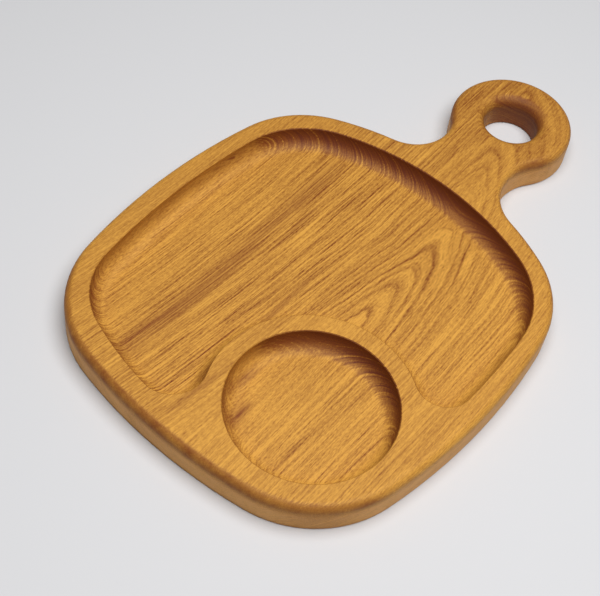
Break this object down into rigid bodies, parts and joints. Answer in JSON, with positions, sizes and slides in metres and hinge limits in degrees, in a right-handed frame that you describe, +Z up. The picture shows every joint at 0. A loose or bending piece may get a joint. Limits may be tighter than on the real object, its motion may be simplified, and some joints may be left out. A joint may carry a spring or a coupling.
{
  "type": "serving board",
  "caption": "Rounded wooden serving board with a broad food recess, a round sauce pocket and a ring handle to hang it by.",
  "frame": {"origin": "on the underside, in the middle of the board's overall length and breadth", "axes": "+X along the grain from the far end to the hanging ring, +Y across the board away from the sauce pocket, +Z up out of the recess"},
  "size_m": [0.3745, 0.251, 0.022],
  "materials": {
    "oak": "oiled solid oak, satin"
  },
  "bodies": {
    "root": {"board": "oak"}
  },
  "joints": []
}
